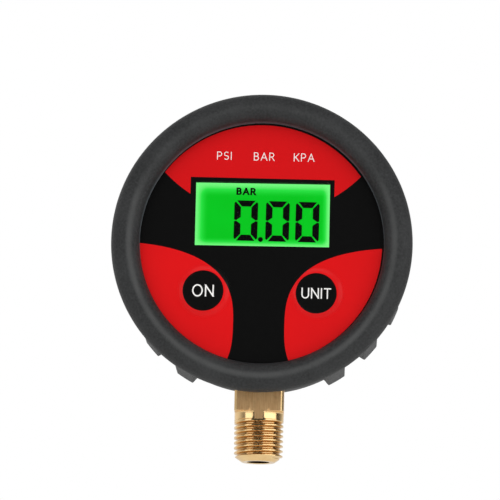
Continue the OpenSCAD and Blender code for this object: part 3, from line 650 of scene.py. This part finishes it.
# the top field: inside a circle whose middle lies above the dial
from_top = add(tree, "VectorMath", {0: flat, 1: (0, 0, top_field_z)}, operation="DISTANCE")
top_field = add(tree, "Math", {0: from_top, 1: top_field_r}, operation="LESS_THAN")
# the lower fields: inside a rounded box curve, its middle beyond the edge of the dial
side_way = add(tree, "Math", {0: low_field_x, 1: across}, operation="SUBTRACT")
low_way = add(tree, "Math", {0: height, 1: low_field_z}, operation="SUBTRACT")
low_way = add(tree, "Math", {0: low_way}, operation="ABSOLUTE")
rounded = 0.0
for way, half in ((side_way, low_field_half), (low_way, low_field_rise)):
    part = add(tree, "Math", {0: way, 1: half}, operation="DIVIDE")
    power = add(tree, "Math", {0: part, 1: low_field_power}, operation="POWER")
    rounded = add(tree, "Math", {0: rounded, 1: power}, operation="ADD")
low_field = add(tree, "Math", {0: rounded, 1: 1.0}, operation="LESS_THAN")
# the black frame round the window, and the black discs on the keys
within = add(tree, "Math", {0: across, 1: frame_half}, operation="LESS_THAN")
under = add(tree, "Math", {0: height, 1: frame_top}, operation="LESS_THAN")
framed = add(tree, "Math", {0: within, 1: under}, operation="MULTIPLY")
outside = add(tree, "Math", {0: 1.0, 1: framed}, operation="SUBTRACT")
top_red = add(tree, "Math", {0: top_field, 1: outside}, operation="MULTIPLY")
folded = add(tree, "CombineXYZ", {"X": across, "Z": height})
from_key = add(tree, "VectorMath", {0: folded, 1: (key_x, 0, key_z)}, operation="DISTANCE")
off_key = add(tree, "Math", {0: from_key, 1: key_disc}, operation="GREATER_THAN")
low_red = add(tree, "Math", {0: low_field, 1: off_key}, operation="MULTIPLY")
fields = add(tree, "Math", {0: top_red, 1: low_red}, operation="MAXIMUM")
# a thin black border is printed round the film; a hair more of it at the top is painted shade under the lip
from_middle = add(tree, "VectorMath", {0: flat, 1: (0, 0, -border_shade_drop)}, operation="DISTANCE")
inside = add(tree, "Math", {0: from_middle, 1: border_r}, operation="LESS_THAN")
red = add(tree, "Math", {0: fields, 1: inside}, operation="MULTIPLY")
# the red is a little cloudy, 14 mm across; the top field is painted a darker red as painted shade
cloud = add(tree, "TexNoise", {"Vector": place, "Scale": 1 / (14 * MM), "Detail": 2.0})
red_ink = add(tree, "Mix", {"Factor": cloud, "A": "#D60B10", "B": "#E00E12"}, data_type="RGBA")
shaded_top_ink = add(tree, "Mix", {"Factor": top_red, "A": red_ink, "B": "#D00A10"}, data_type="RGBA")
print_ink = add(tree, "Mix", {"Factor": red, "A": black_ink, "B": shaded_top_ink}, data_type="RGBA")
fill(tree, shader, {"Base Color": print_ink})
dress(printed_polyester, "face_film")

# Embossed polyester of the pads: the same print, pressed smooth by the die, so their shoulders glint.
embossed_polyester = printed_polyester.copy()
embossed_polyester.name = "embossed_polyester"
tree = embossed_polyester.node_tree
fill(tree, tree.nodes["Principled BSDF"], {"Coat Weight": 0.12, "Coat Roughness": 0.12})

# Screen ink: white, flat and slightly chalky.
white_ink = grained("white_ink", {"Roughness": 0.5}, ("#ECEAE8", "#F7F6F4"),
                    size=0.3, depth=0.004, spread=0.05)


def pad_points(side):
    """An embossed pad: level with the film at its rim, rising by a long smooth step to a nearly flat top
    that is a hair higher in the middle, and flat behind. Rows go from the middle of the front to the rim
    and back behind."""
    angle = np.linspace(0, 2 * np.pi, 96, endpoint=False)
    out = np.concatenate([[0, 1.5, 3, 4.2], np.linspace(5.0, pad_foot, 22), [key_r]])
    crown = 0.9 + 0.1 * (1 - (out / (pad_foot - pad_slope)).clip(0, 1) ** 2)
    front = film_front + key_rise * crown * smooth((pad_foot - out) / pad_slope)
    row_r = np.concatenate([out, [key_r, 0]])[:, None]
    depth = np.concatenate([front, [film_back, film_back]])[:, None]
    return np.stack([side * key_x + row_r * np.cos(angle), np.broadcast_to(-depth, (depth.size, angle.size)),
                     dial_z + key_z + row_r * np.sin(angle)], axis=-1)


for side, name, text, size, width, gap in [(-1, "on", "ON", 3.2, 0.37, 0.55),
                                           (1, "unit", "UNIT", 2.85, 0.33, 0.48)]:
    pad = grid_piece(f"{name}_key_pad", pad_points(side), [embossed_polyester], sharp=50)
    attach(pad, f"{name}_button")
    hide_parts(f"{name}_key")
    key_word = word(text, (side * key_x - print_left, key_z - print_drop), size, width, gap)
    legend = flat_piece(f"{name}_key_word", turned(key_word, print_turn, (0, 0)),
                        -film_front - key_rise + word_sink, white_ink, word_h)
    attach(legend, f"{name}_button")

units_x, units_z, units_rise, units_h = 10.6, 23.3, 0.002, 0.01
units_line = [strip for text, x in [("PSI", -units_x), ("BAR", 0), ("KPA", units_x)]
              for strip in word(text, (x, units_z), height=2.2, width=0.2, gap=0.5)]
units_print = flat_piece("units_print", turned(units_line, print_turn, (0, 0)), -film_front - units_rise,
                         white_ink, units_h)
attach(units_print, "gauge")


# Rubber boot
# One piece of black moulded rubber stretched over the case. A round bead laps over the face and guards it,
# and grip lugs stand on the drafted wall all round except near the stem, which leaves by a square hole.

# radii from the dial's axis, and depths towards the viewer
lip_r, case_slack_r, wall_r, rear_wall_r, bead_out = 32.3, 35.1, 37.8, 36.9, 39.9
boot_back, lip_inside = -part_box("rubber_boot")[1].y / MM, -13.45
bead_round, bead_rise, groove_round, rear_round, edge_round = 3.9, 0.6, 0.6, 2.4, 0.4
bead = (bead_out - bead_round, film_front + bead_rise)
rear = (rear_wall_r - rear_round, boot_back + rear_round)

# Moulded rubber: charcoal and matt, with a faint bloom in patches, and with the mould's fine tooth, which is
# drawn as coarse as 0.6 mm so that it shows.
moulded_rubber, tree, shader = start_material("moulded_rubber", {
    "Roughness": 0.56, "IOR": 1.52, "Specular IOR Level": 0.25})
tooth = grain(tree, shader, ("#080909", "#3C3D3E"), size=0.6, depth=0.35, spread=0.1)
place = add(tree, "TexCoord").outputs["Object"]
axes = add(tree, "SeparateXYZ", {"Vector": place})
patches = add(tree, "TexNoise", {"Vector": place, "Scale": 1 / (9 * MM), "Detail": 4.0})
bloom = add(tree, "MapRange", {"Value": patches, "From Min": 0.45, "From Max": 0.8, "To Max": 0.3})
tone = add(tree, "Mix", {"Factor": bloom, "A": tooth, "B": "#444546"}, data_type="RGBA")
# painted highlight on the crest of the bead: a paler band about 1.5 mm wide where light catches it, a little
# further in at the sides, patchy, and fading from 4 mm to 22 mm above the dial's middle
side_squeeze, highlight_r, highlight_full, highlight_faint = 1.024, bead[0] - 0.1, 4, 22
flat = add(tree, "Mapping", {
    "Vector": place, "Scale": (side_squeeze / MM, 0, 1 / MM), "Location": (0, 0, -dial_z)})
radius = add(tree, "VectorMath", {0: flat}, operation="LENGTH")
past_crest = add(tree, "Math", {0: radius, 1: highlight_r}, operation="SUBTRACT")
from_crest = add(tree, "Math", {0: past_crest}, operation="ABSOLUTE")
crest_highlight = add(tree, "MapRange", {
    "Value": from_crest, "From Min": 0.1, "From Max": 1.3, "To Min": 1.0, "To Max": 0.0},
    interpolation_type="SMOOTHSTEP")
front = add(tree, "Math", {0: axes.outputs["Y"], 1: -bead[1] * MM}, operation="LESS_THAN")
highlight_fade = add(tree, "MapRange", {
    "Value": axes.outputs["Z"], "From Min": (dial_z + highlight_faint) * MM, "From Max": (dial_z + highlight_full) * MM,
    "To Min": 0.25}, interpolation_type="SMOOTHSTEP")
highlight_patches = add(tree, "TexNoise", {"Vector": place, "Scale": 1 / (7 * MM), "Detail": 2.0})
patchy = add(tree, "MapRange", {"Value": highlight_patches, "To Min": 0.4})
for share in (front, highlight_fade, patchy):
    crest_highlight = add(tree, "Math", {0: crest_highlight, 1: share}, operation="MULTIPLY")
painted_light_tone = add(tree, "Mix", {"Factor": crest_highlight, "A": tone, "B": "#4C4D4D"}, data_type="RGBA")
# painted highlight: the thin edge of the lip, down by the film, is painted paler round the upper half
edge_front, edge_deep, edge_low, edge_full = -14.0, -12.8, -8, 2
edge = add(tree, "MapRange", {
    "Value": axes.outputs["Y"], "From Min": edge_front * MM, "From Max": edge_deep * MM})
by_film = add(tree, "Math", {0: radius, 1: lip_r + 1}, operation="LESS_THAN")
upper = add(tree, "MapRange", {
    "Value": axes.outputs["Z"], "From Min": (dial_z + edge_low) * MM, "From Max": (dial_z + edge_full) * MM})
ahead = add(tree, "Math", {0: axes.outputs["Y"], 1: 0.0}, operation="LESS_THAN")
for share in (by_film, upper, ahead):
    edge = add(tree, "Math", {0: edge, 1: share}, operation="MULTIPLY")
painted_light_tone = add(tree, "Mix", {"Factor": edge, "A": painted_light_tone, "B": "#575D61"}, data_type="RGBA")
fill(tree, shader, {"Base Color": painted_light_tone})


def arc(centre, radius, start, end, count):
    """Points on a circle between two angles in degrees, each a radius from the dial's axis and a depth."""
    angle = np.radians(np.linspace(start, end, count))
    return np.c_[centre[0] + radius * np.cos(angle), centre[1] + radius * np.sin(angle)]


# the bead's inner flank is a quarter of an ellipse, from the lip's edge by the film up to the crest; the
# bead ends in a groove, a small round that touches the bead and the wall, whose draft runs from the bead's
# middle to the back
quarter = np.radians(np.linspace(90, 0, 28))
flank = np.c_[bead[0] - (bead[0] - lip_r) * np.sin(quarter), bead[1] + bead_round * np.cos(quarter)]
wall_slope = (wall_r - rear_wall_r) / (bead[1] - rear[1])
groove_out = wall_r - wall_slope * bead_round + groove_round - bead[0]
groove_angle = math.degrees(math.acos(groove_out / (bead_round + groove_round)))
groove = (bead[0] + groove_out, bead[1] - (bead_round + groove_round) * math.sin(math.radians(groove_angle)))
lug_front, lug_back, lug_slope, lug_lead, lug_r = 6.04, rear[1], 1.2, 0.1, 39.0
lug_half, lug_flank = 2.7, 0.7
# rows lie close together where a lug rises and falls
wall_depth = np.concatenate([np.linspace(groove[1], lug_front + lug_lead, 5)[1:],
                             np.linspace(lug_front, lug_front - lug_slope - 0.4, 9),
                             np.linspace(3.2, -9.5, 8), np.linspace(lug_back + lug_slope + 0.4, lug_back, 9)])
wall = np.c_[rear_wall_r + wall_slope * (wall_depth - lug_back), wall_depth]
before_wall = np.vstack([[(lip_r, film_front)], flank, arc(bead, bead_round, 90, -groove_angle, 40)[1:],
                         arc(groove, groove_round, 180 - groove_angle, 180, 6)])
after_wall = np.vstack([
    arc(rear, rear_round, -6, -90, 12), [(33.5, boot_back)],
    arc((rear_view_r + edge_round, boot_back + edge_round), edge_round, -90, -180, 5),
    [(rear_view_r, lip_inside)],
    [(case_slack_r, depth) for depth in (lip_inside, -5, 4, film_front)]])
profile = np.vstack([before_wall, wall, after_wall])

# the lugs stand on the wall: each rises by smooth steps across and at both ends
lug_count, lug_start = 18, math.radians(31.7)
lug_pitch = (2 * np.pi - 2 * lug_start) / (lug_count - 1)
lug_turn = lug_start - np.pi / 2 + lug_pitch * np.arange(lug_count)
half_steps = np.array([0, 1.1, 1.9, 2.3, 2.45, 2.55, 2.65, 2.75, 2.85, 2.95, 3.1, 3.5, 4.4])
across_lug = np.concatenate([-half_steps[:0:-1], half_steps, [lug_pitch / 2 * wall_r]])
over = np.tile(smooth((lug_half + lug_flank / 2 - np.abs(across_lug)) / lug_flank), lug_count)
turn = (lug_turn[:, None] + across_lug / wall_r).ravel()
bare_turn = np.linspace(turn[-1], turn[0] + 2 * np.pi, 36)[1:-1]
turn = np.concatenate([turn, bare_turn])
over = np.concatenate([over, np.zeros(bare_turn.size)])
front_end = smooth((lug_front + lug_lead - wall_depth) / (lug_slope + lug_lead))
back_end = smooth((wall_depth - lug_back) / lug_slope)
wall_lift = (lug_r - wall[:, 0]) * front_end * back_end
lift = np.concatenate([np.zeros(len(before_wall)), wall_lift, np.zeros(len(after_wall))])
boot_r = profile[:, :1] + lift[:, None] * over
boot_points = np.stack([boot_r * np.cos(turn), np.broadcast_to(-profile[:, 1:], boot_r.shape),
                        dial_z + boot_r * np.sin(turn)], axis=-1)
rubber_boot = grid_piece("rubber_boot_moulded", boot_points, [moulded_rubber], close_rows=True, sharp=40)

# the square hole for the stem, cut straight up through the wall
hole_slack, hole_low, hole_high = 0.4, 2, 16.5
box_turn = np.radians([45, 135, 225, 315])
box_rows = [(0, hole_low), (1, hole_low), (1, hole_high), (0, hole_high)]
box_corners = math.sqrt(2) * (square_half + hole_slack) * np.c_[np.cos(box_turn), np.sin(box_turn)]
box_points = np.stack([np.c_[on * box_corners, np.full(4, z)] for on, z in box_rows])
cutter = grid_piece("stem_hole_cutter", box_points, [moulded_rubber])
cut = rubber_boot.modifiers.new("stem_hole", "BOOLEAN")
cut.object, cut.operation, cut.solver = cutter, "DIFFERENCE", "EXACT"
whole_boot = rubber_boot.evaluated_get(bpy.context.evaluated_depsgraph_get())
cut_mesh = bpy.data.meshes.new_from_object(whole_boot)
rubber_boot.modifiers.clear()
rubber_boot.data = cut_mesh
bpy.data.objects.remove(cutter)
shade(cut_mesh, 40)
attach(rubber_boot, "gauge")
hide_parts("rubber_boot")


# Studio
# White surroundings, a soft light low at each side in front and one above the lens, and a pale floor below.
# The lens is long and looks up at the dial from a little below.


def sight(tree):
    """Two factors for what a ray is: one seen in a mirror or through glass, and one that the lens sees."""
    path = add(tree, "LightPath")
    mirrored = add(tree, "Math", {0: path.outputs["Is Glossy Ray"], 1: path.outputs["Is Transmission Ray"]},
                   operation="MAXIMUM")
    return mirrored, path.outputs["Is Camera Ray"]


# mirrors see white behind the object, more of it at the left, and a dim room on the lens's side
white_side, room_light = (-0.35, 0.94, 0), 0.58
world = bpy.data.worlds.new("studio")
bpy.context.scene.world = world
world.use_nodes = True
tree = world.node_tree
around = add(tree, "TexCoord").outputs["Generated"]
behind = add(tree, "VectorMath", {0: around, 1: white_side}, operation="DOT_PRODUCT")
room = add(tree, "MapRange", {
    "Value": behind, "From Min": -0.3, "From Max": 0.9, "To Min": 0.05, "To Max": 0.95},
    interpolation_type="SMOOTHSTEP")
mirrored, by_lens = sight(tree)
level = add(tree, "Mix", {"Factor": mirrored, "A": room_light, "B": room}, data_type="FLOAT")
white = add(tree, "Mix", {"Factor": by_lens, "A": level, "B": 1.0}, data_type="FLOAT")
fill(tree, tree.nodes["Background"], {"Color": "#FFFFFF", "Strength": white})

# each soft light's direction from the dial in degrees, its size in metres and its power in watts
lamp_distance = 0.9
for name, azimuth, elevation, width, height, power in [("left_softbox", -47, 8, 0.62, 0.36, 1.1),
                                                       ("right_softbox", 54, 10, 1.12, 0.44, 2.9),
                                                       ("top_softbox", 0, 48, 0.7, 0.4, 1.75)]:
    a, e = math.radians(azimuth), math.radians(elevation)
    out = np.array([math.sin(a) * math.cos(e), -math.cos(a) * math.cos(e), math.sin(e)])
    side = np.array([math.cos(a), math.sin(a), 0.0])
    lamp = bpy.data.lights.new(name, "AREA")
    lamp.shape, lamp.size, lamp.size_y, lamp.energy = "RECTANGLE", width, height, power
    holder = bpy.data.objects.new(name, lamp)
    pose = np.eye(4)
    pose[:3, 0], pose[:3, 1], pose[:3, 2] = side, np.cross(out, side), out
    pose[:3, 3] = out * lamp_distance + (0, 0, dial_z * MM)
    holder.matrix_world = Matrix(pose)
    bpy.context.scene.collection.objects.link(holder)

# Painted board: warm white and matt. To the lens and in mirrors it is lifted towards the white behind it.
floor_z, floor_half, floor_lift = -140.0, 2500, 0.2
floor_paint, tree, shader = start_material("floor_paint", {"Roughness": 0.7, "Emission Color": "#FFFFFF"})
grain(tree, shader, ("#F2F2F0", "#F7F7F5"), size=3, depth=0.05, spread=0.05)
mirrored, by_lens = sight(tree)
seen = add(tree, "Math", {0: by_lens, 1: mirrored}, operation="MAXIMUM")
lifted = add(tree, "Math", {0: seen, 1: floor_lift}, operation="MULTIPLY")
fill(tree, shader, {"Emission Strength": lifted})
span = np.linspace(-floor_half, floor_half, 3)
floor_points = np.stack([*np.meshgrid(span, span, indexing="ij"), np.full((3, 3), floor_z)], axis=-1)
floor = grid_piece("floor", floor_points, [floor_paint], close_columns=False)

# the lens's direction and roll in degrees, its distance, and how far left and low of the dial it aims
azimuth, elevation, roll = (math.radians(angle) for angle in (1.2, -10.0, 1.2))
distance, aim_left, aim_low, lens = 1000, 3.165, 1.53, 271.6
target = np.array([0, -10, dial_z])
back = np.array([math.sin(azimuth) * math.cos(elevation), -math.cos(azimuth) * math.cos(elevation),
                 math.sin(elevation)])
level_right = np.array([math.cos(azimuth), math.sin(azimuth), 0])
level_up = np.cross(back, level_right)
right = level_right * math.cos(roll) + level_up * math.sin(roll)
up = level_up * math.cos(roll) - level_right * math.sin(roll)
lens_place = target + distance * back
aim = target - aim_left * right - aim_low * up
backward = (lens_place - aim) / np.linalg.norm(lens_place - aim)
sideways = np.cross(up, backward)
sideways /= np.linalg.norm(sideways)
camera_data = bpy.data.cameras.new("camera")
camera_data.sensor_width, camera_data.lens = 36, lens
camera_data.clip_start, camera_data.clip_end = 0.01, 20
camera = bpy.data.objects.new("camera", camera_data)
pose = np.eye(4)
pose[:3, 0], pose[:3, 1], pose[:3, 2] = sideways, np.cross(backward, sideways), backward
pose[:3, 3] = lens_place * MM
camera.matrix_world = Matrix(pose)
bpy.context.scene.collection.objects.link(camera)
bpy.context.scene.camera = camera
bpy.context.scene.view_settings.view_transform = "Standard"
